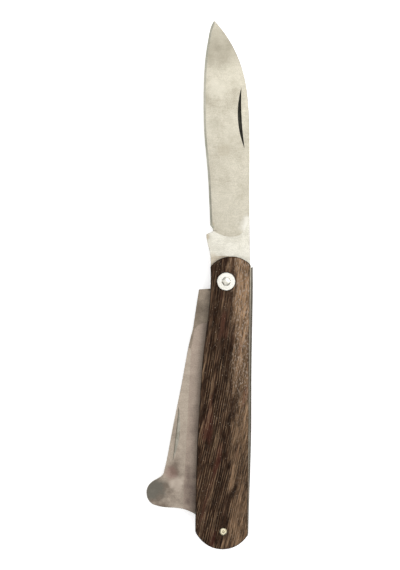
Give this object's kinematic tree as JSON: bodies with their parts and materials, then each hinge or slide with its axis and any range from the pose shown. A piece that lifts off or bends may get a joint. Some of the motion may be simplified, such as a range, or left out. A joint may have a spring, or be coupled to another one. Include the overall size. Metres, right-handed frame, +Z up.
{
  "type": "folding grafting knife",
  "caption": "Folding grafting knife lying flat, main blade open and bark-lifter blade half out, wooden scales on steel liners with back springs.",
  "frame": {"origin": "on the pivot axis of both blades, in the flat of the back scale that the knife lies on", "axes": "+X towards the back of the knife where the springs are, +Y along the handle to the point of the open main blade, +Z up through the thickness of the handle"},
  "size_m": [0.0394, 0.1997, 0.0149],
  "materials": {
    "wood": "oiled open-grained dark hardwood, lighter along the back",
    "blade_steel": "satin ground carbon steel with faint staining",
    "lifter_steel": "browned, used carbon steel",
    "frame_steel": "mill-finished liner steel",
    "spring_steel": "dark tempered spring steel",
    "washer_steel": "bright nickel silver, hammered",
    "pin_brass": "pale peened brass"
  },
  "bodies": {
    "handle": {"front_scale": "wood", "back_scale": "wood", "front_liner": "frame_steel", "back_liner": "frame_steel", "divider": "frame_steel", "main_spring": "spring_steel", "lifter_spring": "spring_steel", "pivot_rivet": "washer_steel", "front_washer": "washer_steel", "back_washer": "washer_steel", "tail_pin": "pin_brass", "spring_pin": "frame_steel"},
    "main_blade": {"main_blade": "blade_steel"},
    "lifter_blade": {"lifter_blade": "lifter_steel"}
  },
  "joints": [
    {"name": "main_blade_pivot", "type": "hinge", "parent": "handle", "child": "main_blade", "pos_m": [0, 0, 0], "axis": [0, 0, 1], "range_deg": [0, 173.5]},
    {"name": "lifter_blade_pivot", "type": "hinge", "parent": "handle", "child": "lifter_blade", "pos_m": [0, 0, 0], "axis": [0, 0, 1], "range_deg": [-166.5, 7]}
  ]
}
